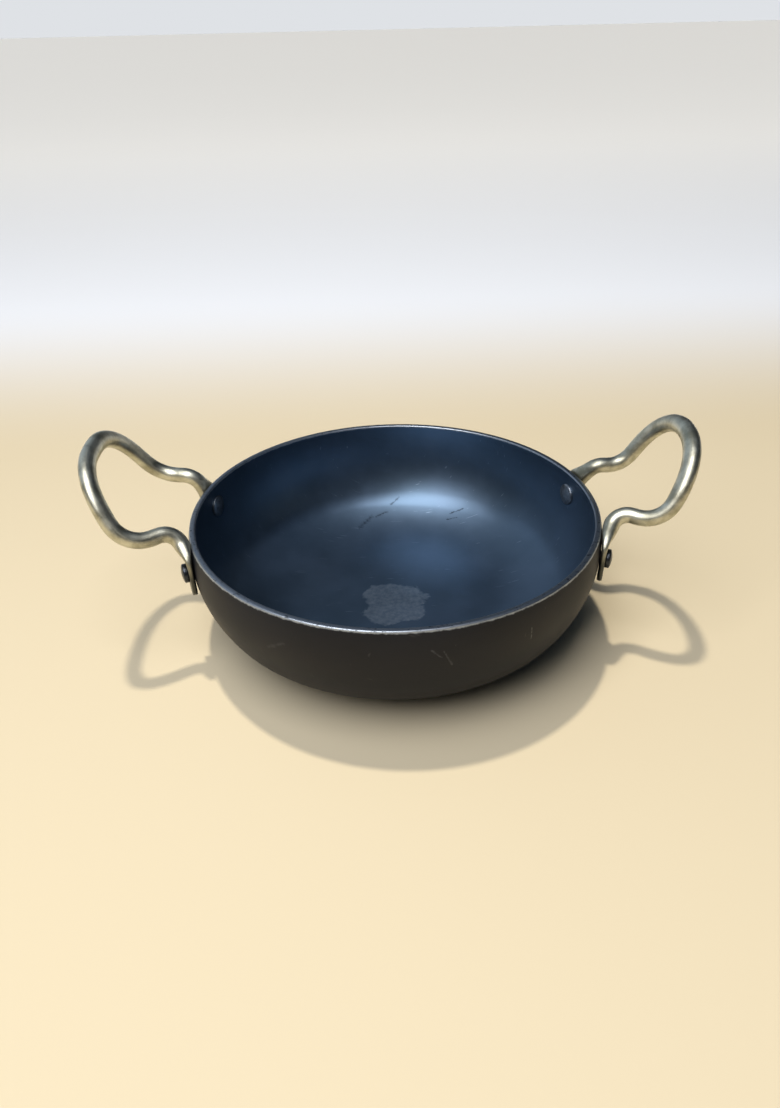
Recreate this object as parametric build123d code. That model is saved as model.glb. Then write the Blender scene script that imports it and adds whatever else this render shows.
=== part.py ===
from build123d import *

import os
from math import asin, copysign, cos, pi, radians, sin, tan

# A kadai: a deep round pan spun from thick aluminium, with two handles of bent steel bar.
# Each handle is one bar whose flattened ends are riveted to the outside of the pan's wall.
# X runs through the two handles, Y from the front to the rear, and Z is up.
# The origin is the middle of the flat base, where the pan stands.
# Lengths are in millimetres and angles in degrees.

# Bowl: the outer skin is a flat base, a slow bend, a tighter knuckle and a long wall arc.
rim_diameter = 206.0
bowl_height = 62.0
wall_thickness = 3.0
base_diameter = 98.0
base_bend_radius = 70.5
base_bend_angle = 33.0
knuckle_radius = 26.0
knuckle_angle = 25.0
rim_edge_radius = 0.8

# Bar: round along the legs, pressed oval at the grip and hammered flat at both ends.
bar_diameter = 8.0
grip_width = 9.0
grip_thickness = 7.6
tab_width = 16.0
tab_thickness = 2.6
tab_foot_radius = 9.0
strip_squareness = 5.0
strip_points = 24

# Bar's path: drops are measured down from the rim, rises up from it, reaches out from its edge.
tab_foot_drop = 25.5
tab_top_drop = 5.0
corner_rise = 6.5
dip_rise = 4.1
right_grip_reach = 39.3
right_grip_rise = 38.5
left_grip_reach = 41.7
left_grip_rise = 38.0
grip_spread = 50.0
shoulder_bend_radius = 6.0
corner_bend_radius = 8.2
dip_bend_radius = 15.6
grip_bend_radius = 27.0
bend_run_share = 0.97

# Legs: all four are bent by hand and differ, offsets are measured from the handle's middle.
right_rear_corner_reach = 6.4
right_rear_corner_offset = 27.1
right_rear_dip_reach = 19.6
right_rear_dip_offset = 28.8
right_front_corner_reach = 4.4
right_front_corner_offset = 21.0
right_front_dip_reach = 22.7
right_front_dip_offset = 35.1
left_rear_corner_reach = 3.3
left_rear_corner_offset = 30.6
left_rear_dip_reach = 21.5
left_rear_dip_offset = 35.8
left_front_corner_reach = 3.2
left_front_corner_offset = 25.1
left_front_dip_reach = 24.3
left_front_dip_offset = 40.0

# Rivets
rivet_drop = 13.5
rivet_spread = 65.0
rivet_diameter = 6.0
rivet_clearance = 0.05
inner_head_diameter = 11.5
inner_head_height = 2.0
inner_head_edge = 1.1
outer_head_diameter = 9.4
outer_head_height = 3.0
outer_head_edge = 2.0

rim_radius = rim_diameter / 2
right_grip = (right_grip_reach, right_grip_rise)
left_grip = (left_grip_reach, left_grip_rise)
right_rear_leg = (
    (right_rear_corner_reach, right_rear_corner_offset),
    (right_rear_dip_reach, right_rear_dip_offset),
)
right_front_leg = (
    (right_front_corner_reach, right_front_corner_offset),
    (right_front_dip_reach, right_front_dip_offset),
)
left_rear_leg = (
    (left_rear_corner_reach, left_rear_corner_offset),
    (left_rear_dip_reach, left_rear_dip_offset),
)
left_front_leg = (
    (left_front_corner_reach, left_front_corner_offset),
    (left_front_dip_reach, left_front_dip_offset),
)


def skin_edges(inset):
    """Edges of the bowl's half outline, from the axis to the rim, inset from the outer skin."""
    base = Line((0, inset), (base_diameter / 2, inset))
    base_bend = JernArc(base @ 1, base % 1, base_bend_radius - inset, base_bend_angle)
    knuckle = JernArc(base_bend @ 1, base_bend % 1, knuckle_radius - inset, knuckle_angle)
    rim_point = (rim_radius - inset, bowl_height)
    wall = TangentArc(knuckle @ 1, rim_point, tangent=knuckle % 1)
    return [base, base_bend, knuckle, wall]


def turned_body(inset):
    """Solid of revolution inside the outline, closed flat at the rim's height."""
    edges = skin_edges(inset)
    closing = Polyline(edges[-1] @ 1, (0, bowl_height), (0, inset))
    return revolve(Plane.XZ * make_face(edges + closing.edges()), Axis.Z)


def bowl_blank():
    """Bowl before it is drilled, with the rim's two edges rounded."""
    blank = turned_body(0) - turned_body(wall_thickness)
    return fillet(blank.edges().group_by(Axis.Z)[-1], rim_edge_radius)


def rivet_seat(across):
    """Plane on the outer wall at a rivet, across is 1 for the rear one and -1 for the front one.

    Its X runs round the bowl, its Y up the wall and its Z out of it.
    """
    wall = skin_edges(0)[-1]
    height = bowl_height - rivet_drop
    level = Line((0, height), (2 * rim_radius, height))
    radius = wall.intersect(level).vertex().X
    up_wall = wall.tangent_at((radius, height))
    lean = asin(-up_wall.X)
    turn = across * asin(rivet_spread / 2 / radius)
    outward = (cos(lean) * cos(turn), cos(lean) * sin(turn), sin(lean))
    around = (-sin(turn), cos(turn), 0)
    place = (radius * cos(turn), radius * sin(turn), height)
    return Plane(origin=place, x_dir=around, z_dir=outward)


def fitting_bends(corners, radii):
    """Bend radii of a line of corners, made smaller where two bends need more than the run between them."""
    reaches = [0]
    for before, here, after, radius in zip(corners, corners[1:], corners[2:], radii):
        turn = radians((here - before).get_angle(after - here))
        reaches.append(radius * tan(turn / 2))
    reaches.append(0)
    fits = [1] * len(corners)
    for index, (start, stop) in enumerate(zip(corners, corners[1:])):
        needed = reaches[index] + reaches[index + 1]
        room = bend_run_share * (stop - start).length
        if needed > room:
            fits[index] = min(fits[index], room / needed)
            fits[index + 1] = min(fits[index + 1], room / needed)
    return [radius * fit for radius, fit in zip(radii, fits[1:-1])]


def leg_corners(leg, grip):
    """Corners of a leg drawn as the rear one, from its tab's foot to the grip."""
    (corner_reach, corner_offset), (dip_reach, dip_offset) = leg
    grip_reach, grip_rise = grip
    seat = rivet_seat(1)
    middle = tab_thickness / 2
    foot = seat.from_local_coords((0, rivet_drop - tab_foot_drop, middle))
    top = seat.from_local_coords((0, rivet_drop - tab_top_drop, middle))
    corner = Vector(rim_radius + corner_reach, corner_offset, bowl_height + corner_rise)
    dip = Vector(rim_radius + dip_reach, dip_offset, bowl_height + dip_rise)
    grip_end = Vector(rim_radius + grip_reach, grip_spread / 2, bowl_height + grip_rise)
    return [foot, top, corner, dip, grip_end]


def bar_path(leg, other_leg, grip):
    """Centre line of a bar, from a leg's tab round the grip to the tab of the other leg."""
    far_corners = [Vector(p.X, -p.Y, p.Z) for p in reversed(leg_corners(other_leg, grip))]
    corners = leg_corners(leg, grip) + far_corners
    bends = [shoulder_bend_radius, corner_bend_radius, dip_bend_radius, grip_bend_radius]
    return FilletPolyline(*corners, radius=fitting_bends(corners, bends + bends[::-1]))


def cross_plane(line, share, side):
    """Plane square to a line at a share of its length, with its X as near to side as it goes."""
    heading = line % share
    return Plane(origin=line @ share, x_dir=side - heading * side.dot(heading), z_dir=heading)


def strip_face(plane):
    """Section of a tab: a superellipse, so a flat strip whose two edges are round."""
    points = []
    for step in range(strip_points):
        turn = 2 * pi * step / strip_points
        along = copysign(abs(cos(turn)) ** (2 / strip_squareness), cos(turn))
        up = copysign(abs(sin(turn)) ** (2 / strip_squareness), sin(turn))
        points.append(plane.from_local_coords(Vector(along * tab_width / 2, up * tab_thickness / 2, 0)))
    return Face(Wire(Edge.make_spline(points, periodic=True)))


def tab_solid(line, section):
    """Tab on the rear seat: a strip along its line with a rounded foot, drilled for the rivet."""
    strip = extrude(section, line.length, dir=line @ 0 - line @ 1)
    foot_centre = rivet_drop - tab_foot_drop + tab_foot_radius
    depth = 4 * tab_thickness
    waste = Pos(0, foot_centre - tab_width, 0) * Box(2 * tab_width, 2 * tab_width, depth)
    waste -= Pos(0, foot_centre, 0) * Cylinder(tab_foot_radius, depth)
    hole = Cylinder(rivet_diameter / 2 + rivet_clearance, depth)
    return strip - [rivet_seat(1) * cut for cut in (waste, hole)]


def leg_solid(path):
    """A leg with its tab and its bend into the grip, along the first half of a bar's path.

    The tab is the flattened end, the shoulder is forged from flat to round, the leg is round
    and the swell leads into the oval grip.
    """
    edges = path.edges()
    tab_line, leg_start, swell_line, grip_line = edges[0], edges[3], edges[6], edges[8]
    around = rivet_seat(1).x_dir
    loop_side = (swell_line % 0).cross(grip_line % 0).cross(swell_line % 0)
    flat = strip_face(cross_plane(tab_line, 1, around))
    round_face = cross_plane(leg_start, 0, around) * Circle(bar_diameter / 2).face()
    shoulder = loft([flat, round_face])
    leg = sweep(round_face, path=Wire(edges[3:6]))
    swell_start = cross_plane(swell_line, 0, loop_side) * Circle(bar_diameter / 2).face()
    oval = cross_plane(swell_line, 1, loop_side) * Ellipse(grip_width / 2, grip_thickness / 2).face()
    swell = loft([swell_start, oval])
    grip_bend = sweep(oval, path=Wire(edges[7:8]))
    return tab_solid(tab_line, flat) + shoulder + leg + swell + grip_bend


def handle(rear_leg, front_leg, grip):
    """Handle on the +X side: a bar's two legs, joined by the straight middle of the grip."""
    path = bar_path(rear_leg, front_leg, grip)
    rear = leg_solid(path)
    front = mirror(leg_solid(bar_path(front_leg, rear_leg, grip)), Plane.XZ)
    rear_swell, grip_line, front_swell = path.edges()[6:11:2]
    oval = Ellipse(grip_width / 2, grip_thickness / 2).face()
    rear_oval = cross_plane(grip_line, 0, rear_swell % 1) * oval
    front_oval = cross_plane(grip_line, 1, -(front_swell % 0)) * oval
    return rear + loft([rear_oval, front_oval], ruled=True) + front


def head(diameter, height, edge):
    """Rivet head standing on its own XY plane: a short straight edge under a low dome."""
    side = Polyline((0, 0), (diameter / 2, 0), (diameter / 2, edge))
    sag = height - edge
    dome_radius = ((diameter / 2) ** 2 + sag ** 2) / (2 * sag)
    dome = RadiusArc((diameter / 2, edge), (0, height), -dome_radius)
    closing = Line((0, height), (0, 0))
    return revolve(Plane.XZ * make_face(side.edges() + dome.edges() + closing.edges()), Axis.Z)


def rivet(across, blank):
    """Rivet on the +X side: a low head inside, its shank, and the upset head on the tab.

    The inner head follows the curve of the wall that it bears on.
    """
    seat = rivet_seat(across)
    inner_sunk = wall_thickness / 2
    inner = head(inner_head_diameter, inner_head_height + inner_sunk, inner_head_edge + inner_sunk)
    inner = seat * Pos(0, 0, inner_sunk - wall_thickness) * Rot(180, 0, 0) * inner - blank
    outer_seat = tab_thickness + rivet_clearance
    outer = Pos(0, 0, outer_seat) * head(outer_head_diameter, outer_head_height, outer_head_edge)
    shank_top = outer_seat + outer_head_edge
    shank_length = shank_top + wall_thickness + inner_head_edge
    shank = Cylinder(rivet_diameter / 2, shank_length, align=(Align.CENTER, Align.CENTER, Align.MAX))
    return inner + seat * (outer + Pos(0, 0, shank_top) * shank)


def bowl(blank):
    """Bowl drilled square to its wall for the four rivets."""
    drill = Cylinder(rivet_diameter / 2 + rivet_clearance, 4 * wall_thickness)
    holes = [rivet_seat(across) * drill for across in (1, -1)]
    return blank - (holes + [Rot(0, 0, 180) * hole for hole in holes])


def save(name, solid):
    export_step(solid, f"parts/{name}.step")


os.makedirs("parts", exist_ok=True)
blank_bowl = bowl_blank()
save("bowl", bowl(blank_bowl))
save("right_handle", handle(right_rear_leg, right_front_leg, right_grip))
save("left_handle", Rot(0, 0, 180) * handle(left_front_leg, left_rear_leg, left_grip))
front_rivet = rivet(-1, blank_bowl)
rear_rivet = rivet(1, blank_bowl)
save("right_front_rivet", front_rivet)
save("right_rear_rivet", rear_rivet)
save("left_front_rivet", Rot(0, 0, 180) * rear_rivet)
save("left_rear_rivet", Rot(0, 0, 180) * front_rivet)
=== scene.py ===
# %% [markdown]
# # A small kadai, dressed
# The kadai is a spun and hard-anodised aluminium bowl with two bent steel handles,
# held by four rivets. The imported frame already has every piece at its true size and
# place, in metres, so each visible piece here is modelled again around those sizes
# with a smoother skin, and then given a finish made of nodes.

# %% Load the frame
from math import asin, atan2, copysign, cos, pi, radians, sin, sqrt, tan

import bmesh
import bpy
from mathutils import Matrix, Vector


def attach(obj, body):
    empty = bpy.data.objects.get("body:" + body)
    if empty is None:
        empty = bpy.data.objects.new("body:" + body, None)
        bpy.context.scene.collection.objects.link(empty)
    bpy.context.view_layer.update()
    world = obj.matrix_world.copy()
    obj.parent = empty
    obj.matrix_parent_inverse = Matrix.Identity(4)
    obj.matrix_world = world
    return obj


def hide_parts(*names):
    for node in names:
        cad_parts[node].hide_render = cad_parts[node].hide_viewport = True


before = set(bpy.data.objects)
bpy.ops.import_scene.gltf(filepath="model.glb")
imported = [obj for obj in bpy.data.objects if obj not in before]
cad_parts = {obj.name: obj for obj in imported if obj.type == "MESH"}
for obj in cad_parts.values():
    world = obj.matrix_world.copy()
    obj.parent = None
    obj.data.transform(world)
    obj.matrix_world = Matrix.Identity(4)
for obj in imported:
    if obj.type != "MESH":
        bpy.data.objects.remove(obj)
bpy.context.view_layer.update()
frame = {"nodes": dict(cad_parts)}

# %% [markdown]
# ## Sizes
# A maker works from a drawing, and so does this file: every size of the bowl and
# its bars stands here once, in metres. MM turns a length in millimetres, as it
# would be read off the drawing, into the metres that Blender uses.

# %% Sizes of the bowl, the bars and the rivets
MM = 0.001
RIM_RADIUS = 103.0 * MM
BOWL_HEIGHT = 62.0 * MM
WALL = 3.0 * MM
BASE_RADIUS = 49.0 * MM
# Each bend of the outline: its radius and the angle it turns by.
BASE_BEND = (70.5 * MM, radians(33.0))
KNUCKLE = (26.0 * MM, radians(25.0))
RIM_ROUND = 0.8 * MM

BAR_RADIUS = 4.0 * MM
# Each section: its half width and half thickness.
GRIP_HALF = (4.5 * MM, 3.8 * MM)
TAB_HALF = (8.0 * MM, 1.3 * MM)
# Squareness is the power of a section's superellipse: 2 is round, 5 almost a rectangle.
TAB_SQUARENESS = 5.0
ROUND = 2.0

# Drops are measured down from the rim, and the spread between a handle's two rivets.
RIVET_DROP = 13.5 * MM
RIVET_SPREAD = 65.0 * MM
TAB_FOOT_DROP = 25.5 * MM
TAB_TOP_DROP = 5.0 * MM
print("rim across", round(2 * RIM_RADIUS, 4), "m, height", BOWL_HEIGHT, "m, wall", WALL, "m")

# %% [markdown]
# ## Starting and finishing a piece
# Each piece starts as a primitive and is shaped in edit mode, where an operator acts
# on everything that is selected. So all is deselected before a primitive is added,
# and the new object gets its name at once. At the end it is shaded smooth, given its
# finishes and hung on the frame, in place of the solid that it stands for.

# %% Helpers that start and finish a piece
# The left side of the kadai is the right side turned half round.
TURN = Matrix.Rotation(pi, 4, "Z")


def deselect_all():
    """Nothing is selected afterwards, so that an operator acts only on what is added next."""
    if bpy.context.object and bpy.context.object.mode != "OBJECT":
        bpy.ops.object.mode_set(mode="OBJECT")
    bpy.ops.object.select_all(action="DESELECT")


def start_piece(name):
    """Name the object that a primitive has just made, and go into edit mode on it."""
    piece = bpy.context.object
    piece.name = piece.data.name = name
    bpy.ops.object.mode_set(mode="EDIT")
    return piece


def finish_piece(piece, node, finishes):
    """Leave edit mode, shade the piece smooth, give it its finishes and hang it on the frame."""
    bpy.ops.object.mode_set(mode="OBJECT")
    bpy.ops.object.shade_smooth()
    for finish in finishes:
        piece.data.materials.append(finish)
    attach(piece, "root")
    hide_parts(node)
    print(piece.name, len(piece.data.polygons), "faces")


print("the left side is turned by", round(TURN.to_euler().z, 4), "rad")

# %% [markdown]
# ## Nodes and colours
# A finish is a small tree of nodes. One helper adds a node with its settings and
# links, and one turns the colours, written as sRGB hex values as in a paint
# program, into the linear values that the shader works in.

# %% Node and colour helpers
# A Mix node has sockets of the same name for each type, so its colours go by number.
MIX_FACTOR, COLOUR_A, COLOUR_B, COLOUR_OUT = 0, 6, 7, 2


def linear(hex_value):
    """Linear RGBA of an sRGB hex colour."""
    parts = [int(hex_value[i:i + 2], 16) / 255 for i in (1, 3, 5)]
    return [c / 12.92 if c <= 0.04045 else ((c + 0.055) / 1.055) ** 2.4 for c in parts] + [1.0]


def add_node(tree, kind, inputs, **settings):
    """Add a node, apply its settings, and fill its inputs with values or with other nodes' outputs."""
    node = tree.nodes.new(kind)
    for name, value in settings.items():
        setattr(node, name, value)
    for name, value in inputs.items():
        if isinstance(value, bpy.types.NodeSocket):
            tree.links.new(value, node.inputs[name])
        else:
            node.inputs[name].default_value = value
    return node


def new_finish(name):
    """A new material, its emptied tree and its Object coordinates."""
    finish = bpy.data.materials.new(name)
    finish.use_nodes = True
    tree = finish.node_tree
    tree.nodes.clear()
    place = add_node(tree, "ShaderNodeTexCoord", {}).outputs["Object"]
    return finish, tree, place


def per(size_mm):
    """Scale of a pattern whose features are this many millimetres across."""
    return 1.0 / (size_mm * MM)


print("mid grey #808080 is", round(linear("#808080")[0], 3), "in linear light")

# %% [markdown]
# ## Finishes of the bowl
# Hard-anodised aluminium is aluminium with a thick, dark oxide grown on it in an
# acid bath. It looks dark and satin: the oxide swallows colour, and the metal under
# it still throws a broad, cool highlight. One recipe serves both sides. Inside, the
# metal shines through. Outside, the oxide is coarse and almost black, so that side
# is shaded as a dull coating, not as a metal. Patterns could be painted on a UV map,
# but noise on the Object coordinates needs no seams and takes its sizes from life.

# %% The oxide, its clouds and its hairlines
CLOUD_MM = 45.0
# Utensils leave short hairlines: noise drawn out one way, of which only the crests are kept.
HAIR_MM = (14.0, 0.7, 6.0)
HAIR_TURN = (0.3, 0.2, 0.9)


def oxide_colour(tree, place, dark, light, worn):
    """Colour of the oxide, clouded and crossed by hairlines, and the clouds alone."""
    clouds = add_node(tree, "ShaderNodeTexNoise", {
        "Vector": place, "Scale": per(CLOUD_MM), "Detail": 4.0, "Roughness": 0.55}).outputs["Fac"]
    cloud_share = add_node(tree, "ShaderNodeMapRange", {
        "Value": clouds, "From Min": 0.35, "From Max": 0.68}, interpolation_type="SMOOTHSTEP")
    clouded = add_node(tree, "ShaderNodeMix", {
        MIX_FACTOR: cloud_share.outputs["Result"], COLOUR_A: linear(dark), COLOUR_B: linear(light)},
        data_type="RGBA")
    drawn_out = add_node(tree, "ShaderNodeMapping", {
        "Vector": place, "Rotation": HAIR_TURN, "Scale": tuple(per(size) for size in HAIR_MM)})
    hair = add_node(tree, "ShaderNodeTexNoise", {
        "Vector": drawn_out.outputs["Vector"], "Scale": 1.0, "Detail": 2.0})
    hairline = add_node(tree, "ShaderNodeMapRange", {
        "Value": hair.outputs["Fac"], "From Min": 0.71, "From Max": 0.76})
    scuffed = add_node(tree, "ShaderNodeMix", {
        MIX_FACTOR: hairline.outputs["Result"], COLOUR_A: clouded.outputs[COLOUR_OUT],
        COLOUR_B: linear(worn)}, data_type="RGBA")
    return scuffed.outputs[COLOUR_OUT], clouds


print("clouds", CLOUD_MM, "mm across, hairlines up to", HAIR_MM[0], "mm long")

# %% [markdown]
# ## Worn places
# A kadai is scraped with steel ladles. Its rim is rubbed through unevenly, a patch
# on the floor has gone pale, and single marks cross the wall. Each is a mask: how
# far a point is from the worn place, pushed about by noise so that its edge frays,
# then turned into a share from none to one. Outside, dust takes the patch's place.

# %% Rubbed rim
NIBBLE_MM = 3.2
RIM_WEAR = (61.4 * MM, 62.4 * MM)
RIM_NIBBLE = 1.6 * MM


def rim_wear(tree, place, height):
    """Share of bare metal at the rim: a mask of the height, nibbled by noise."""
    nibble = add_node(tree, "ShaderNodeTexNoise", {
        "Vector": place, "Scale": per(NIBBLE_MM), "Detail": 3.0, "Roughness": 0.7})
    nibbled = add_node(tree, "ShaderNodeMath", {
        0: nibble.outputs["Fac"], 1: RIM_NIBBLE, 2: height}, operation="MULTIPLY_ADD")
    share = add_node(tree, "ShaderNodeMapRange", {
        "Value": nibbled.outputs[0], "From Min": RIM_WEAR[0], "From Max": RIM_WEAR[1]},
        interpolation_type="SMOOTHSTEP")
    return share.outputs["Result"]


print("bare metal from", RIM_WEAR[0], "m up")

# %% Single marks
# Each mark: the places of its two ends and its reach, all in millimetres, and its colour.
INSIDE_MARKS = (
    ((-9.4, 79.6, 10.6), (-2.4, 82.7, 12.0), 1.3, "#2b3743"),
    ((0.3, 86.9, 14.6), (5.4, 90.1, 17.6), 1.1, "#2b3743"),
    ((36.3, 76.1, 12.9), (44.3, 76.6, 15.9), 1.0, "#212c37"),
    ((34.1, 72.7, 10.7), (40.2, 72.4, 12.1), 0.8, "#2b3743"),
    ((-19.5, 71.6, 7.8), (-11.9, 79.5, 10.7), 2.2, "#3c4a58"),
)
OUTSIDE_MARKS = (
    ((-58.7, -85.4, 42.9), (-51.3, -90.5, 48.3), 1.6, "#2e2e31"),
    ((11.4, -103.5, 52.0), (15.3, -103.0, 47.7), 0.8, "#3b3b3d"),
    ((16.5, -102.8, 50.7), (20.1, -101.6, 42.6), 0.8, "#3b3b3d"),
    ((55.8, -88.0, 50.0), (55.9, -87.4, 43.6), 0.5, "#5c5c5a"),
)
FRAY_MM = 1.8
# In reaches of a mark: how far noise pushes its edge out, where it ends and where it is full.
MARK_FRAY = 2.4
MARK_ENDS = 1.9
MARK_FULL = 1.1


def mark_wear(tree, place, start, end, reach_mm, fray):
    """Share of a mark at a point: one on the mark's line, none past its frayed reach."""
    start, end = Vector(start) * MM, Vector(end) * MM
    line = end - start
    from_start = add_node(tree, "ShaderNodeVectorMath", {0: place, 1: start}, operation="SUBTRACT")
    along = add_node(tree, "ShaderNodeVectorMath", {
        0: from_start.outputs["Vector"], 1: line / line.length_squared}, operation="DOT_PRODUCT")
    clamped = add_node(tree, "ShaderNodeMath", {
        0: along.outputs["Value"], 1: 0.0}, operation="ADD", use_clamp=True)
    nearest = add_node(tree, "ShaderNodeVectorMath", {
        0: line, "Scale": clamped.outputs[0]}, operation="SCALE")
    apart = add_node(tree, "ShaderNodeVectorMath", {
        0: from_start.outputs["Vector"], 1: nearest.outputs["Vector"]}, operation="DISTANCE")
    frayed = add_node(tree, "ShaderNodeMath", {
        0: fray, 1: MARK_FRAY * reach_mm * MM, 2: apart.outputs["Value"]}, operation="MULTIPLY_ADD")
    share = add_node(tree, "ShaderNodeMapRange", {
        "Value": frayed.outputs[0],
        "From Min": MARK_ENDS * reach_mm * MM, "From Max": MARK_FULL * reach_mm * MM})
    return share.outputs["Result"]


print(len(INSIDE_MARKS), "marks inside,", len(OUTSIDE_MARKS), "outside")

# %% Rubbed patch on the floor of the bowl
# The patch is a few round blobs run together: the centre of each and its radius, in millimetres.
PATCH_BLOBS = (
    ((-6.0, 5.0, 3.0), 12.0),
    ((4.0, 2.0, 3.0), 12.5),
    ((-5.0, -9.0, 3.0), 12.0),
    ((5.0, -9.0, 3.0), 10.5),
    ((15.0, 3.0, 3.0), 3.5),
)
PATCH_FRAY_MM = 7.0
PATCH_MOTTLE_MM = 2.4
PATCH_FRAY = 11.0 * MM
PATCH_EDGE = (6.2 * MM, 4.6 * MM)


def patch_wear(tree, place):
    """Share of worn metal in the patch: a mask of the nearest blob, frayed and mottled."""
    distances = []
    for centre, radius in PATCH_BLOBS:
        reach = add_node(tree, "ShaderNodeVectorMath", {
            0: place, 1: Vector(centre) * MM}, operation="DISTANCE")
        distances.append(add_node(tree, "ShaderNodeMath", {
            0: reach.outputs["Value"], 1: radius * MM}, operation="SUBTRACT").outputs[0])
    nearest = distances[0]
    for distance in distances[1:]:
        nearest = add_node(tree, "ShaderNodeMath", {
            0: nearest, 1: distance}, operation="MINIMUM").outputs[0]
    ragged = add_node(tree, "ShaderNodeTexNoise", {
        "Vector": place, "Scale": per(PATCH_FRAY_MM), "Detail": 5.0, "Roughness": 0.65})
    frayed = add_node(tree, "ShaderNodeMath", {
        0: ragged.outputs["Fac"], 1: PATCH_FRAY, 2: nearest}, operation="MULTIPLY_ADD")
    share = add_node(tree, "ShaderNodeMapRange", {
        "Value": frayed.outputs[0], "From Min": PATCH_EDGE[0], "From Max": PATCH_EDGE[1]})
    mottle = add_node(tree, "ShaderNodeTexNoise", {
        "Vector": place, "Scale": per(PATCH_MOTTLE_MM), "Detail": 3.0, "Roughness": 0.7})
    mottled = add_node(tree, "ShaderNodeMapRange", {
        "Value": mottle.outputs["Fac"], "From Min": 0.3, "From Max": 0.7, "To Min": 0.3, "To Max": 0.8})
    worn = add_node(tree, "ShaderNodeMath", {
        0: share.outputs["Result"], 1: mottled.outputs["Result"]}, operation="MULTIPLY")
    return worn.outputs[0]


print("patch of", len(PATCH_BLOBS), "blobs")

# %% Dust under the wall
DUST_MM = 9.0
DUST_BAND = (17.0 * MM, 4.0 * MM)


def settled_dust(tree, place):
    """Share of dry dust and grease, settled in patches on the bend under the wall."""
    height = add_node(tree, "ShaderNodeSeparateXYZ", {"Vector": place}).outputs["Z"]
    patchy = add_node(tree, "ShaderNodeTexNoise", {
        "Vector": place, "Scale": per(DUST_MM), "Detail": 5.0, "Roughness": 0.7})
    low = add_node(tree, "ShaderNodeMapRange", {
        "Value": height, "From Min": DUST_BAND[0], "From Max": DUST_BAND[1],
        "To Min": -0.5, "To Max": 0.1})
    dusty = add_node(tree, "ShaderNodeMath", {
        0: patchy.outputs["Fac"], 1: low.outputs["Result"]}, operation="ADD")
    share = add_node(tree, "ShaderNodeMapRange", {
        "Value": dusty.outputs[0], "From Min": 0.3, "From Max": 0.75, "To Max": 0.8})
    return share.outputs["Result"]


print("dust below", DUST_BAND[0], "m")

# %% [markdown]
# ## Putting the bowl's finishes together
# The layers are laid one over the other, as they came to be: oxide, bare rim, marks,
# and last the patch or the dust. Satin oxide scatters light, so the roughness is
# middling and changes a little with the clouds, and a fine bump breaks the highlight.

# %% Hard-anodised aluminium
BARE_METAL = "#b4bac0"
# The oxide's grain is about 0.05 mm. It is drawn at 0.7 mm, the finest that shows.
GRAIN_MM = 0.7
GRAIN_DEPTH = 0.05 * MM


def anodised(name, colours, roughness, metal, coat, marks, last_share, last_colour):
    """Hard-anodised aluminium of one side: colours are the dark, the light and the worn one."""
    finish, tree, place = new_finish(name)
    height = add_node(tree, "ShaderNodeSeparateXYZ", {"Vector": place}).outputs["Z"]
    shown, clouds = oxide_colour(tree, place, *colours)
    bare_share = rim_wear(tree, place, height)
    fray = add_node(tree, "ShaderNodeTexNoise", {
        "Vector": place, "Scale": per(FRAY_MM), "Detail": 3.0, "Roughness": 0.7}).outputs["Fac"]
    layers = [(bare_share, BARE_METAL)]
    for start, end, reach_mm, colour in marks:
        layers.append((mark_wear(tree, place, start, end, reach_mm, fray), colour))
    layers.append((last_share(tree, place), last_colour))
    for share, colour in layers:
        shown = add_node(tree, "ShaderNodeMix", {
            MIX_FACTOR: share, COLOUR_A: shown, COLOUR_B: linear(colour)},
            data_type="RGBA").outputs[COLOUR_OUT]
    rough = add_node(tree, "ShaderNodeMapRange", {
        "Value": clouds, "From Min": 0.3, "From Max": 0.7,
        "To Min": roughness - 0.04, "To Max": roughness + 0.05})
    metallic = add_node(tree, "ShaderNodeMapRange", {"Value": bare_share, "To Min": metal, "To Max": 1.0})
    grain = add_node(tree, "ShaderNodeTexNoise", {
        "Vector": place, "Scale": per(GRAIN_MM), "Detail": 2.0, "Roughness": 0.6})
    bump = add_node(tree, "ShaderNodeBump", {
        "Strength": 0.25, "Distance": GRAIN_DEPTH, "Height": grain.outputs["Fac"]})
    shader = add_node(tree, "ShaderNodeBsdfPrincipled", {
        "Base Color": shown, "Metallic": metallic.outputs["Result"],
        "Roughness": rough.outputs["Result"], "Normal": bump.outputs["Normal"],
        "Specular IOR Level": 0.25, "Coat Weight": coat, "Coat Roughness": 0.4})
    add_node(tree, "ShaderNodeOutputMaterial", {"Surface": shader.outputs["BSDF"]})
    return finish


inside_finish = anodised(
    "hard_anodised_inside", ("#55687a", "#5e7185", "#8798ab"), roughness=0.37, metal=0.95, coat=0.3,
    marks=INSIDE_MARKS, last_share=patch_wear, last_colour="#a4afba")
outside_finish = anodised(
    "hard_anodised_outside", ("#0e0f15", "#16171c", "#2a2a2b"), roughness=0.5, metal=0.0, coat=0.0,
    marks=OUTSIDE_MARKS, last_share=settled_dust, last_colour="#3d3a33")
print("bowl finishes", inside_finish.name, outside_finish.name)

# %% [markdown]
# ## Finish of the rim
# The rim is the spun edge, turned level on a lathe and rubbed by ladles and by other
# pans in the stack, so it is bare aluminium, pale and satin, with dark oxide left in
# its nicks. It could be one more mask in the finishes above. But its faces are easy to
# pick by their height, so it gets a material of its own. One noise gives the nicks
# both their colour and their depth.

# %% Bare aluminium of the rim
NICK_MM = 2.6
NICK_DEPTH = 0.15 * MM


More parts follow.
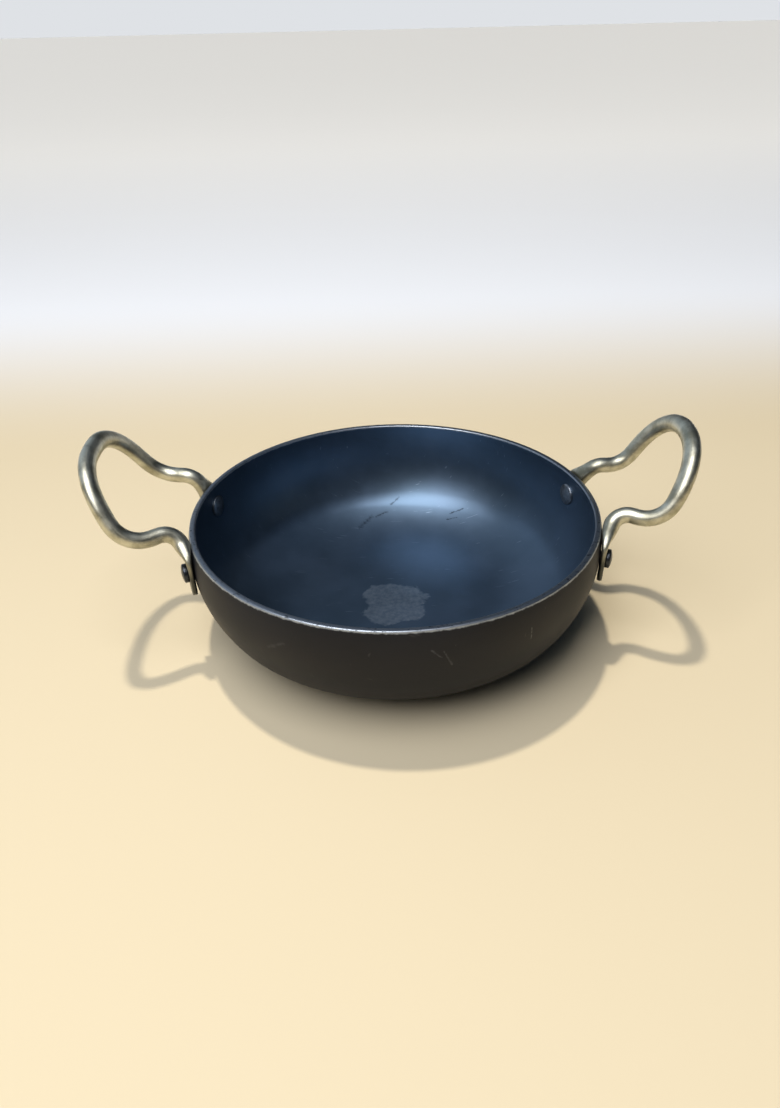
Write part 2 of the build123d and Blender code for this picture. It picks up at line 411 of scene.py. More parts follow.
def bare_rim():
    """Turned aluminium edge whose oxide is worn away: pale metal with dark nicks left in it."""
    finish, tree, place = new_finish("bare_aluminium_edge")
    nicks = add_node(tree, "ShaderNodeTexNoise", {
        "Vector": place, "Scale": per(NICK_MM), "Detail": 4.0, "Roughness": 0.75})
    nick_share = add_node(tree, "ShaderNodeMapRange", {
        "Value": nicks.outputs["Fac"], "From Min": 0.32, "From Max": 0.46})
    colour = add_node(tree, "ShaderNodeMix", {
        MIX_FACTOR: nick_share.outputs["Result"], COLOUR_A: linear("#44484d"),
        COLOUR_B: linear("#999fa6")}, data_type="RGBA")
    bump = add_node(tree, "ShaderNodeBump", {
        "Strength": 0.5, "Distance": NICK_DEPTH, "Height": nick_share.outputs["Result"]})
    shader = add_node(tree, "ShaderNodeBsdfPrincipled", {
        "Base Color": colour.outputs[COLOUR_OUT], "Metallic": 1.0, "Roughness": 0.38,
        "Normal": bump.outputs["Normal"]})
    add_node(tree, "ShaderNodeOutputMaterial", {"Surface": shader.outputs["BSDF"]})
    return finish


rim_finish = bare_rim()
print("rim finish", rim_finish.name)

# %% [markdown]
# ## Finish of the handles
# The bars are mild steel with a thin bright plating, which is a mirror dulled by
# handling: warm grey, with fine scratches that run along the bar. The scratches
# must follow the bends, so they don't read the object's own axes but an attribute
# that each bar gets below: how far across, through and along the bar a point is.

# %% Tarnish and painted shade on the plating
TARNISH_MM = 9.0
PAINTED_SHADE_EDGE = (68.0 * MM, 54.0 * MM)
PAINTED_SHADE_FRAY = 12.0 * MM


def plating_colour(tree, place):
    """Colour of the plating: clouded by tarnish, and painted dark and patchy low down, as painted shade
    on the tabs.
    """
    clouds = add_node(tree, "ShaderNodeTexNoise", {
        "Vector": place, "Scale": per(TARNISH_MM), "Detail": 4.0, "Roughness": 0.6}).outputs["Fac"]
    cloud_share = add_node(tree, "ShaderNodeMapRange", {
        "Value": clouds, "From Min": 0.35, "From Max": 0.7}, interpolation_type="SMOOTHSTEP")
    clouded = add_node(tree, "ShaderNodeMix", {
        MIX_FACTOR: cloud_share.outputs["Result"], COLOUR_A: linear("#d2cfbc"),
        COLOUR_B: linear("#9f9b86")}, data_type="RGBA")

    # Painted shade: the plating is painted dark and patchy low down, where the tabs sit in shade against
    # the bowl.
    height = add_node(tree, "ShaderNodeSeparateXYZ", {"Vector": place}).outputs["Z"]
    ragged_height = add_node(tree, "ShaderNodeMath", {
        0: clouds, 1: PAINTED_SHADE_FRAY, 2: height}, operation="MULTIPLY_ADD")
    painted_shade_share = add_node(tree, "ShaderNodeMapRange", {
        "Value": ragged_height.outputs[0], "From Min": PAINTED_SHADE_EDGE[0], "From Max": PAINTED_SHADE_EDGE[1]},
        interpolation_type="SMOOTHSTEP")
    shown = add_node(tree, "ShaderNodeMix", {
        MIX_FACTOR: painted_shade_share.outputs["Result"], COLOUR_A: clouded.outputs[COLOUR_OUT],
        COLOUR_B: linear("#4c4d48")}, data_type="RGBA")
    return shown.outputs[COLOUR_OUT]


# The painted shade on the plating starts below this height.
print("soot below", PAINTED_SHADE_EDGE[0], "m")

# %% Plated steel
BAR_COORDS = "bar_coords"
# Scratches from handling are far finer than 0.45 mm, which is as fine as shows here.
SCRATCH_MM = (0.45, 0.45, 9.0)
SCRATCH_DEPTH = 0.05 * MM
DENT_MM = 6.0
DENT_DEPTH = 0.3 * MM


def plated_steel():
    """Bright plating worn by hands, on coordinates that follow the bar."""
    finish, tree, place = new_finish("bright_plated_steel")
    along_bar = add_node(tree, "ShaderNodeAttribute", {}, attribute_name=BAR_COORDS).outputs["Vector"]
    stretched = add_node(tree, "ShaderNodeMapping", {
        "Vector": along_bar, "Scale": tuple(per(size) for size in SCRATCH_MM)})
    scratches = add_node(tree, "ShaderNodeTexNoise", {
        "Vector": stretched.outputs["Vector"], "Scale": 1.0, "Detail": 3.0,
        "Roughness": 0.6}).outputs["Fac"]
    dull = add_node(tree, "ShaderNodeMapRange", {
        "Value": scratches, "From Min": 0.35, "From Max": 0.7, "To Min": 0.34, "To Max": 0.5})
    dents = add_node(tree, "ShaderNodeTexNoise", {
        "Vector": place, "Scale": per(DENT_MM), "Detail": 1.0})
    dent_bump = add_node(tree, "ShaderNodeBump", {
        "Strength": 0.3, "Distance": DENT_DEPTH, "Height": dents.outputs["Fac"]})
    bump = add_node(tree, "ShaderNodeBump", {
        "Strength": 0.45, "Distance": SCRATCH_DEPTH, "Height": scratches,
        "Normal": dent_bump.outputs["Normal"]})
    shader = add_node(tree, "ShaderNodeBsdfPrincipled", {
        "Base Color": plating_colour(tree, place), "Metallic": 1.0,
        "Roughness": dull.outputs["Result"], "Normal": bump.outputs["Normal"]})
    add_node(tree, "ShaderNodeOutputMaterial", {"Surface": shader.outputs["BSDF"]})
    return finish


bar_finish = plated_steel()
print("bar finish", bar_finish.name)

# %% [markdown]
# ## Finish of the rivets
# The rivets are soft aluminium, so they could share the bare metal of the rim. But
# they were tumbled and then hammered, which leaves a dull skin with brighter crests,
# and their outer heads are painted dark, as painted shade. A mask of the distance
# from the bowl's middle tells the outer heads from the inner ones.

# %% Dulled rivet aluminium
HAMMER_MM = 2.2
HAMMER_DEPTH = 0.2 * MM
PAINTED_SHADE_RADIUS = (101.0 * MM, 102.0 * MM)


def rivet_metal():
    """Soft aluminium rivet, tumbled and dulled, a little brighter on its hammered crests, with painted
    shade on its outer head.
    """
    finish, tree, place = new_finish("dulled_rivet_aluminium")
    hammer = add_node(tree, "ShaderNodeTexNoise", {
        "Vector": place, "Scale": per(HAMMER_MM), "Detail": 3.0})
    share = add_node(tree, "ShaderNodeMapRange", {
        "Value": hammer.outputs["Fac"], "From Min": 0.35, "From Max": 0.65})
    bright = add_node(tree, "ShaderNodeMix", {
        MIX_FACTOR: share.outputs["Result"], COLOUR_A: linear("#757a80"), COLOUR_B: linear("#999fa5")},
        data_type="RGBA")

    # Painted shade on the outer heads: past the wall, the metal is painted dark.
    level = add_node(tree, "ShaderNodeVectorMath", {0: place, 1: (1.0, 1.0, 0.0)}, operation="MULTIPLY")
    radius = add_node(tree, "ShaderNodeVectorMath", {0: level.outputs["Vector"]}, operation="LENGTH")
    painted_shade_share = add_node(tree, "ShaderNodeMapRange", {
        "Value": radius.outputs["Value"], "From Min": PAINTED_SHADE_RADIUS[0], "From Max": PAINTED_SHADE_RADIUS[1]})
    colour = add_node(tree, "ShaderNodeMix", {
        MIX_FACTOR: painted_shade_share.outputs["Result"], COLOUR_A: bright.outputs[COLOUR_OUT],
        COLOUR_B: linear("#3b3e42")}, data_type="RGBA")
    bump = add_node(tree, "ShaderNodeBump", {
        "Strength": 0.4, "Distance": HAMMER_DEPTH, "Height": hammer.outputs["Fac"]})
    shader = add_node(tree, "ShaderNodeBsdfPrincipled", {
        "Base Color": colour.outputs[COLOUR_OUT], "Metallic": 0.9, "Roughness": 0.3,
        "Normal": bump.outputs["Normal"]})
    add_node(tree, "ShaderNodeOutputMaterial", {"Surface": shader.outputs["BSDF"]})
    return finish


rivet_finish = rivet_metal()
print("rivet finish", rivet_finish.name)

# %% [markdown]
# ## The bowl
# A spinner presses a flat disc of aluminium over a form, ring by ring, and the mesh
# can be made the same way: a circle, whose edge is extruded and scaled up the outside,
# over the rounded rim and down the inside to the floor. The middles of the base and of
# the floor are closed last. A Solidify modifier would also give the wall, but it tips
# the rim over, because the wall leans in there.

# %% Outline of the bowl
BOWL_SIDES = 256
BEND_STEPS = 10
KNUCKLE_STEPS = 7
WALL_STEPS = 16


def skin(inset):
    """Points up one skin of the bowl, inset from the outer one, with the wall's centre and radius."""
    bend_radius, bend_angle = BASE_BEND
    knuckle_radius, knuckle_angle = KNUCKLE
    points = []
    centre = Vector((BASE_RADIUS, bend_radius))
    for step in range(BEND_STEPS + 1):
        turn = bend_angle * step / BEND_STEPS
        points.append(centre + (bend_radius - inset) * Vector((sin(turn), -cos(turn))))
    centre += (bend_radius - knuckle_radius) * Vector((sin(bend_angle), -cos(bend_angle)))
    for step in range(1, KNUCKLE_STEPS + 1):
        turn = bend_angle + knuckle_angle * step / KNUCKLE_STEPS
        points.append(centre + (knuckle_radius - inset) * Vector((sin(turn), -cos(turn))))
    first = bend_angle + knuckle_angle
    heading = Vector((cos(first), sin(first)))
    chord = Vector((RIM_RADIUS - inset, BOWL_HEIGHT)) - points[-1]
    lift = atan2(chord.y, chord.x) - first
    wall_radius = chord.length / (2 * sin(lift))
    centre = points[-1] + wall_radius * Vector((-heading.y, heading.x))
    for step in range(1, WALL_STEPS + 1):
        turn = first + 2 * lift * step / WALL_STEPS
        points.append(centre + wall_radius * Vector((sin(turn), -cos(turn))))
    return points, centre, wall_radius


outer_skin, wall_centre, wall_radius = skin(0.0)
inner_skin, _, _ = skin(WALL)
print("wall radius mm", round(wall_radius / MM, 2))

# %% Rim, and all rings from outside to inside
RIM_STEPS = 5


def rounded_rim():
    """Points over the rim, each edge of its flat top rounded."""
    points = []
    for side, low, high in ((1, 0, 90), (-1, 90, 0)):
        edge = RIM_RADIUS - WALL / 2 + side * (WALL / 2 - RIM_ROUND)
        for step in range(RIM_STEPS + 1):
            turn = radians(low + (high - low) * step / RIM_STEPS)
            radius = edge + side * RIM_ROUND * cos(turn)
            height = BOWL_HEIGHT - RIM_ROUND + RIM_ROUND * sin(turn)
            points.append(Vector((radius, height)))
    return points


rings = outer_skin[1:-1] + rounded_rim() + inner_skin[-2::-1]
print("rings", len(rings))

# %% Raise the bowl ring by ring
FLOOR_INSET = 4.0 * MM


def raise_rings(radius, height, rings):
    """Extrude the selected edge loop through each ring, moving it up and scaling it outwards."""
    for ring in rings:
        bpy.ops.mesh.extrude_region_move(TRANSFORM_OT_translate={"value": (0, 0, ring.y - height)})
        bpy.ops.transform.resize(value=(ring.x / radius, ring.x / radius, 1), center_override=(0, 0, 0))
        radius, height = ring


def flat_middle():
    """Close the selected loop with a flat face, held flat by an inset ring."""
    bpy.ops.mesh.edge_face_add()
    bpy.ops.mesh.inset(thickness=FLOOR_INSET, use_even_offset=True)


deselect_all()
bpy.ops.mesh.primitive_circle_add(vertices=BOWL_SIDES, radius=BASE_RADIUS, fill_type="NOTHING")
bowl_shell = start_piece("bowl_shell")
bpy.ops.mesh.select_mode(type="EDGE")
bpy.ops.mesh.select_all(action="SELECT")
raise_rings(BASE_RADIUS, 0.0, rings)
flat_middle()
bpy.ops.mesh.select_all(action="DESELECT")
bpy.ops.mesh.select_non_manifold()
flat_middle()
bpy.ops.mesh.select_all(action="SELECT")
bpy.ops.mesh.normals_make_consistent(inside=False)
finish_piece(bowl_shell, "bowl", [outside_finish, inside_finish, rim_finish])

# %% Give the rim, the inside and the outside their finishes
INSIDE_SLOT = 1
RIM_SLOT = 2

for face in bowl_shell.data.polygons:
    centre = face.center
    faces_axis = centre.x * face.normal.x + centre.y * face.normal.y < 0
    on_floor = face.normal.z > 0.5 and centre.z < BOWL_HEIGHT / 2
    if centre.z > BOWL_HEIGHT - 0.5 * RIM_ROUND:
        face.material_index = RIM_SLOT
    elif faces_axis or on_floor:
        face.material_index = INSIDE_SLOT
print("rim faces", sum(face.material_index == RIM_SLOT for face in bowl_shell.data.polygons))

# %% [markdown]
# ## Where the tabs sit
# Each bar ends in two flattened tabs that lie against the bowl's wall, one rivet
# through each. The wall is curved both ways, so the seat of a rivet is worked out
# from the outline: a point on the outer skin, with the directions outwards, round
# the bowl and up. Everything on the tab is then placed in those directions.


# %% Seats of the rivets
def rivet_seat(across):
    """Matrix of a rivet's seat on the +X side: x round the bowl, y up the wall, z outwards."""
    height = BOWL_HEIGHT - RIVET_DROP
    lean = asin((height - wall_centre.y) / wall_radius)
    radius = wall_centre.x + wall_radius * cos(lean)
    turn = across * asin(RIVET_SPREAD / 2 / radius)
    outward = Vector((cos(lean) * cos(turn), cos(lean) * sin(turn), sin(lean)))
    around = Vector((-sin(turn), cos(turn), 0))
    seat = Matrix((around, outward.cross(around), outward)).transposed().to_4x4()
    seat.translation = (radius * cos(turn), radius * sin(turn), height)
    return seat


REAR_SEAT = rivet_seat(1)
FRONT_SEAT = rivet_seat(-1)
print("rear seat mm", [round(v / MM, 2) for v in REAR_SEAT.translation])

# %% [markdown]
# ## The handles
# A handle is one round bar, flattened at both ends, bent in a bender and pinched
# to a slight oval where it is held. A curve object with a bevel could give the bar,
# but not the flat tabs. So the mesh starts as a small ring at the foot of the tab
# and is extruded along the bar, each new ring set to the section the bar has there.
# The four legs were bent by hand, so each has its own corner and dip, and a Mirror
# modifier would not do. A Subdivision Surface rounds the forged shoulders.

# %% Sizes of the legs and grips
CORNER_RISE = 6.5 * MM
DIP_RISE = 4.1 * MM
GRIP_SPREAD = 50.0 * MM

# Each leg: how far its corner and its dip stand out from the rim's edge and from the middle.
RIGHT_REAR_LEG = ((6.4 * MM, 27.1 * MM), (19.6 * MM, 28.8 * MM))
RIGHT_FRONT_LEG = ((4.4 * MM, 21.0 * MM), (22.7 * MM, 35.1 * MM))
LEFT_REAR_LEG = ((3.3 * MM, 30.6 * MM), (21.5 * MM, 35.8 * MM))
LEFT_FRONT_LEG = ((3.2 * MM, 25.1 * MM), (24.3 * MM, 40.0 * MM))

# Each grip: how far it stands out from the rim's edge, and above it.
RIGHT_GRIP = (39.3 * MM, 38.5 * MM)
LEFT_GRIP = (41.7 * MM, 38.0 * MM)
print("grips stand out by", round(RIGHT_GRIP[0], 4), "and", round(LEFT_GRIP[0], 4), "m")

# %% Corners and bends of a leg
# Radii of the bends at the shoulder, the corner, the dip and the grip's end.
BENDS = (6.0 * MM, 8.2 * MM, 15.6 * MM, 27.0 * MM)
BEND_RUN_SHARE = 0.97


def leg_corners(leg, grip):
    """Corners of a leg drawn as the rear one, from its tab's foot to the middle of the grip."""
    (corner_reach, corner_offset), (dip_reach, dip_offset) = leg
    foot = REAR_SEAT @ Vector((0, RIVET_DROP - TAB_FOOT_DROP, TAB_HALF[1]))
    top = REAR_SEAT @ Vector((0, RIVET_DROP - TAB_TOP_DROP, TAB_HALF[1]))
    corner = Vector((RIM_RADIUS + corner_reach, corner_offset, BOWL_HEIGHT + CORNER_RISE))
    dip = Vector((RIM_RADIUS + dip_reach, dip_offset, BOWL_HEIGHT + DIP_RISE))
    grip_end = Vector((RIM_RADIUS + grip[0], GRIP_SPREAD / 2, BOWL_HEIGHT + grip[1]))
    return [foot, top, corner, dip, grip_end, Vector((grip_end.x, 0, grip_end.z))]


def fitting_bends(corners):
    """Bend radii, made smaller where two bends need more than the run between them."""
    reaches = [0.0]
    for before, here, after, radius in zip(corners, corners[1:], corners[2:], BENDS):
        reaches.append(radius * tan((here - before).angle(after - here) / 2))
    reaches.append(0.0)
    fits = [1.0] * len(corners)
    for index, (start, stop) in enumerate(zip(corners, corners[1:])):
        needed = reaches[index] + reaches[index + 1]
        room = BEND_RUN_SHARE * (stop - start).length
        if needed > room:
            fits[index] = min(fits[index], room / needed)
            fits[index + 1] = min(fits[index + 1], room / needed)
    return [radius * fit for radius, fit in zip(BENDS, fits[1:-1])]


sample_corners = leg_corners(RIGHT_REAR_LEG, RIGHT_GRIP)
print("bends mm", [round(radius / MM, 1) for radius in fitting_bends(sample_corners)])

# %% Stations down half a bar
# Runs and bends are numbered from the foot: run1 is the tab, bend1 the shoulder, bend2
# the corner, bend3 the dip and bend4 the end of the grip.
ARC_STEP = radians(15.0)
RUN_STEP = 5.0 * MM


def bent_route(corners):
    """Stations down half a bar: point, heading, name of its run or bend, and share of it done."""
    bends = fitting_bends(corners)
    stations = []
    last = corners[0]
    for index in range(1, len(corners)):
        heading = (corners[index] - corners[index - 1]).normalized()
        bend = reach = 0.0
        if index <= len(bends):
            leaving = (corners[index + 1] - corners[index]).normalized()
            bend = heading.angle(leaving)
            reach = bends[index - 1] * tan(bend / 2)
        stop = corners[index] - heading * reach
        steps = max(1, round((stop - last).length / RUN_STEP))
        for step in range(steps):
            stations.append((last + (stop - last) * step / steps, heading, f"run{index}", step / steps))
        if bend:
            inward = (leaving - heading * heading.dot(leaving)).normalized()
            steps = max(2, round(bend / ARC_STEP))
            for step in range(steps):
                turn = bend * step / steps
                point = stop + bends[index - 1] * (heading * sin(turn) + inward * (1 - cos(turn)))
                turned = heading * cos(turn) + inward * sin(turn)
                stations.append((point, turned, f"bend{index}", step / steps))
            last = corners[index] + leaving * reach
    stations.append((corners[-1], heading, "middle", 1.0))
    return stations


print("stations down a leg", len(bent_route(sample_corners)))

# %% Sections of a bar
# The foot of the tab is round, and its first ring keeps this share of the tab's width.
TAB_FOOT_RADIUS = 9.0 * MM
TAB_FOOT_END_SHARE = 0.18
# How much of the change from flat to round is forged by the end of the shoulder's bend.
SHOULDER_SHARE = 0.6


def section_at(name, share, travelled):
    """Half width, half thickness and squareness of the bar at a station."""
    flat = (*TAB_HALF, TAB_SQUARENESS)
    leg = (BAR_RADIUS, BAR_RADIUS, ROUND)
    grip = (*GRIP_HALF, ROUND)
    if name == "run1":
        width = TAB_HALF[0]
        if travelled < TAB_FOOT_RADIUS:
            chord = TAB_FOOT_RADIUS ** 2 - (TAB_FOOT_RADIUS - travelled) ** 2
            width = min(width, sqrt(max(chord, (TAB_FOOT_END_SHARE * width) ** 2)))
        return (width, *flat[1:])
    if name in ("bend1", "run2"):
        mix = share * SHOULDER_SHARE
        if name == "run2":
            mix = SHOULDER_SHARE + (1 - SHOULDER_SHARE) * share
        mix = mix * mix * (3 - 2 * mix)
        return tuple(a + (b - a) * mix for a, b in zip(flat, leg))
    if name in ("bend2", "run3", "bend3"):
        return leg
    if name == "run4":
        return tuple(a + (b - a) * share for a, b in zip(leg, grip))
    return grip


half_forged = section_at("bend1", 1.0, 0.0)
print("section at the end of the shoulder's bend", [round(value, 4) for value in half_forged])

# %% Points of a ring
RING_SIDES = 16
# Subdividing shrinks a ring, so each ring is drawn larger by as much.
CAGE_GROWTH = 3 / (2 + cos(2 * pi / RING_SIDES))


def ring_points(point, side, thick, section):
    """Points of one ring of the bar's cage, a circle or a squared-off oval."""
    half_width, half_thickness, squareness = section
    points = []
    for corner in range(RING_SIDES):
        turn = 2 * pi * corner / RING_SIDES
        along = copysign(abs(cos(turn)) ** (2 / squareness), cos(turn))
        up = copysign(abs(sin(turn)) ** (2 / squareness), sin(turn))
        points.append(point + CAGE_GROWTH * (side * along * half_width + thick * up * half_thickness))
    return points


print("rings are drawn larger by", round(CAGE_GROWTH, 4))

# %% Frames down half a bar
# A frame is a point on the bar's line with the directions across and through the bar.
# Rings on the tab lie at shares of its half width from the foot, then of what is left.
FOOT_SHARES = (0.02, 0.1, 0.25, 0.5, 0.8, 1.15)
TAB_SHARES = (0.35, 0.7)
TURN_TO_LOOP_SHARE = 0.35


def half_frames(corners):
    """Frames of half a bar with their sections, the tab's rounded foot put in finer steps."""
    route = bent_route(corners)
    run = [station for station in route if station[2] == "run1"]
    rest = route[len(run):]
    foot, heading = run[0][0], run[0][1]
    length = (rest[0][0] - foot).length
    inner = [share * TAB_HALF[0] for share in FOOT_SHARES]
    inner += [inner[-1] + (length - inner[-1]) * share for share in TAB_SHARES]
    stations = [(foot + heading * d, heading, "run1", 0.0) for d in inner] + rest
    around = REAR_SEAT.to_3x3() @ Vector((1, 0, 0))
    thick = around.cross(heading).normalized()
    dip, grip_end, middle = corners[3:]
    loop_normal = (grip_end - dip).cross(middle - grip_end).normalized()
    frames = []
    previous = heading

    # The section turns with the bar, and past the corner it eases into the plane of the loop.
    for point, heading, name, share in stations:
        thick = previous.rotation_difference(heading) @ thick
        previous = heading
        if name in ("run3", "bend3", "run4"):
            wanted = loop_normal if loop_normal.dot(thick) > 0 else -loop_normal
            thick = thick.lerp(wanted, TURN_TO_LOOP_SHARE)
        thick = (thick - heading * thick.dot(heading)).normalized()
        section = section_at(name, share, (point - foot).length)
        frames.append((point, heading.cross(thick), thick, section))
    return frames


print("frames down a leg", len(half_frames(sample_corners)))

# %% Frames down a whole bar
FLIP = Vector((1, -1, 1))


def bar_frames(rear_leg, front_leg, grip):
    """Frames of a whole bar: down the rear leg to the grip and back along the flipped front one."""
    frames = half_frames(leg_corners(rear_leg, grip))
    front = half_frames(leg_corners(front_leg, grip))[::-1]

    # The sections of both halves must face the same way where they meet.
    flip = FLIP * copysign(1.0, frames[-1][2].dot(front[0][2] * FLIP))
    for point, side, thick, section in front[1:]:
        frames.append((point * FLIP, side * flip, thick * flip, section))
    return frames


print("frames down a bar", len(bar_frames(RIGHT_REAR_LEG, RIGHT_FRONT_LEG, RIGHT_GRIP)))


# %% Helpers that set a ring and lay coordinates along a bar
def set_ring(mesh, old, new):
    """Move each selected point of the mesh from its place in the old ring to the new one."""
    edit = bmesh.from_edit_mesh(mesh)
    for vert in [v for v in edit.verts if v.select]:
        nearest = min(range(len(old)), key=lambda i: (vert.co - old[i]).length_squared)
        vert.co = new[nearest]
    bmesh.update_edit_mesh(mesh)


def add_bar_coordinates(bar, frames):
    """Attribute for the finish: across, through and along the bar at each point of its mesh."""
    spine = []
    along = 0.0
    points = [frame[0] for frame in frames]
    for index, (point, side, thick, _) in enumerate(frames):
        before = points[max(index - 1, 0)]
        after = points[min(index + 1, len(points) - 1)]
        heading = (after - before).normalized()
        along += (point - before).length
        spine.append((point, side, thick, heading, along))
    layer = bar.data.attributes.new(BAR_COORDS, "FLOAT_VECTOR", "POINT")
    for vert in bar.data.vertices:
        point, side, thick, heading, along = min(spine, key=lambda s: (vert.co - s[0]).length_squared)
        offset = vert.co - point
        layer.data[vert.index].vector = (offset.dot(side), offset.dot(thick), along + offset.dot(heading))


print("the plating reads", BAR_COORDS)

# %% Extrude the two bars along their routes
SMOOTHING_LEVELS = 2


def make_bar(name, rear_leg, front_leg, grip, turned, node):
    """One handle: a bar extruded ring by ring, subdivided and, on the left, turned round."""
    frames = bar_frames(rear_leg, front_leg, grip)
    old = ring_points(*frames[0])
    deselect_all()
    bpy.ops.mesh.primitive_circle_add(vertices=RING_SIDES, radius=BAR_RADIUS, fill_type="NGON")
    bar = start_piece(name)
    bpy.ops.mesh.select_all(action="SELECT")
    edit = bmesh.from_edit_mesh(bar.data)
    for vert, place in zip(edit.verts, old):
        vert.co = place
    bmesh.update_edit_mesh(bar.data)
    bpy.ops.mesh.select_mode(type="EDGE")
    bpy.ops.mesh.region_to_loop()
    for frame_now in frames[1:]:
        new = ring_points(*frame_now)
        bpy.ops.mesh.extrude_region_move()
        set_ring(bar.data, old, new)
        old = new
    bpy.ops.mesh.edge_face_add()
    bpy.ops.mesh.select_all(action="SELECT")
    bpy.ops.mesh.normals_make_consistent(inside=False)
    bpy.ops.object.mode_set(mode="OBJECT")
    rounding = bar.modifiers.new("rounding", "SUBSURF")
    rounding.levels = rounding.render_levels = SMOOTHING_LEVELS
    bpy.ops.object.modifier_apply(modifier=rounding.name)
    add_bar_coordinates(bar, frames)
    if turned:
        bar.data.transform(TURN)
    finish_piece(bar, node, [bar_finish])


# Turning swaps front and rear, so the left bar's front leg is made as the rear one.
make_bar("right_handle_bar", RIGHT_REAR_LEG, RIGHT_FRONT_LEG, RIGHT_GRIP, False, "right_handle")
make_bar("left_handle_bar", LEFT_FRONT_LEG, LEFT_REAR_LEG, LEFT_GRIP, True, "left_handle")

# %% [markdown]
# ## The rivets
# A rivet starts with one head, is pushed through bowl and tab from the inside, and
# its far end is hammered into the second head. Both heads and the shank are one
# round piece, so its outline is drawn as a chain of points and spun about its axis.
# It is made once, copied for each hole with its own mesh, and moved to its seat.

# %% Outline of a rivet
SHANK_RADIUS = 3.0 * MM
# Each head: its radius, its whole height and the height of its straight edge.
INNER_HEAD = (5.75 * MM, 2.0 * MM, 1.1 * MM)
OUTER_HEAD = (4.7 * MM, 3.0 * MM, 2.0 * MM)
# A head's two corners are broken by these lengths, in towards the axis and along the edge.
SEAT_BEVEL = (0.1 * MM, 0.25 * MM)
CROWN_BEVEL = (0.105 * MM, 0.35 * MM)
# Shares of a head's radius at which the rings of its dome lie.
DOME_SHARES = (0.88, 0.7, 0.45, 0.2, 0.0)
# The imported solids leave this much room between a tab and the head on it.
HEAD_GAP = 0.05 * MM


def head_outline(radius, height, edge, seat, direction):
    """Radius and height of a head's points, from its seat up its edge and over its dome."""
    points = [
        (radius - SEAT_BEVEL[0], seat),
        (radius, seat + direction * SEAT_BEVEL[1]),
        (radius, seat + direction * (edge - CROWN_BEVEL[1])),
        (radius - CROWN_BEVEL[0], seat + direction * edge),
    ]
    sag = height - edge
    for share in DOME_SHARES:
        points.append((radius * share, seat + direction * (edge + sag * (1 - share ** 2))))
    return points


outer_points = head_outline(*OUTER_HEAD, 2 * TAB_HALF[1] + HEAD_GAP, 1)
inner_points = head_outline(*INNER_HEAD, -WALL, -1)
shank_points = [(SHANK_RADIUS, -WALL), (SHANK_RADIUS, 2 * TAB_HALF[1])]
rivet_outline = inner_points[::-1] + shank_points + outer_points
print("rivet outline points", len(rivet_outline))

# %% Spin the rivet
SPIN_STEPS = 48
MERGE_DISTANCE = 0.01 * MM


def spun_rivet():
    """Rivet on its own axis: a chain of points extruded along the outline, then spun round Z."""
    deselect_all()
    bpy.ops.mesh.primitive_plane_add(size=MM)
    rivet = start_piece("rivet_blank")

    # A plane merged at its centre leaves one point, which is then drawn out into the outline.
    bpy.ops.mesh.select_mode(type="VERT")
    bpy.ops.mesh.select_all(action="SELECT")
    bpy.ops.mesh.merge(type="CENTER")
    radius, height = rivet_outline[0]
    bpy.ops.transform.translate(value=(radius, 0, height))
    for next_radius, next_height in rivet_outline[1:]:
        step = (next_radius - radius, 0, next_height - height)
        bpy.ops.mesh.extrude_region_move(TRANSFORM_OT_translate={"value": step})
        radius, height = next_radius, next_height
    bpy.ops.mesh.select_all(action="SELECT")
    bpy.ops.mesh.spin(steps=SPIN_STEPS, angle=2 * pi, center=(0, 0, 0), axis=(0, 0, 1))
    bpy.ops.mesh.select_all(action="SELECT")
    bpy.ops.mesh.remove_doubles(threshold=MERGE_DISTANCE)
    bpy.ops.mesh.normals_make_consistent(inside=False)
    bpy.ops.object.mode_set(mode="OBJECT")
    return rivet


rivet_blank = spun_rivet()
print(rivet_blank.name, len(rivet_blank.data.polygons), "faces")

# %% Set a copy of the rivet in each seat
for name, seat in (
    ("right_front_rivet", FRONT_SEAT),
    ("right_rear_rivet", REAR_SEAT),
    ("left_front_rivet", TURN @ REAR_SEAT),
    ("left_rear_rivet", TURN @ FRONT_SEAT),
):
    deselect_all()
    rivet = bpy.data.objects.new(name + "_set", rivet_blank.data.copy())
    bpy.context.collection.objects.link(rivet)
    bpy.context.view_layer.objects.active = rivet
    rivet.select_set(True)
    rivet.data.transform(seat)
    finish_piece(rivet, name, [rivet_finish])
bpy.data.objects.remove(rivet_blank)

# %% [markdown]
# ## Stage
# The kadai stands on a plain pale floor, wide enough to reach the horizon. One colour
# would do, but the lamps fall off with distance and the far end would turn grey, so
# the board is painted paler as it goes back.

# %% Floor
FLOOR_SIZE = 30.0
PALE_FROM = (0.2, 0.6)
WHITE_FROM = (0.6, 2.0)


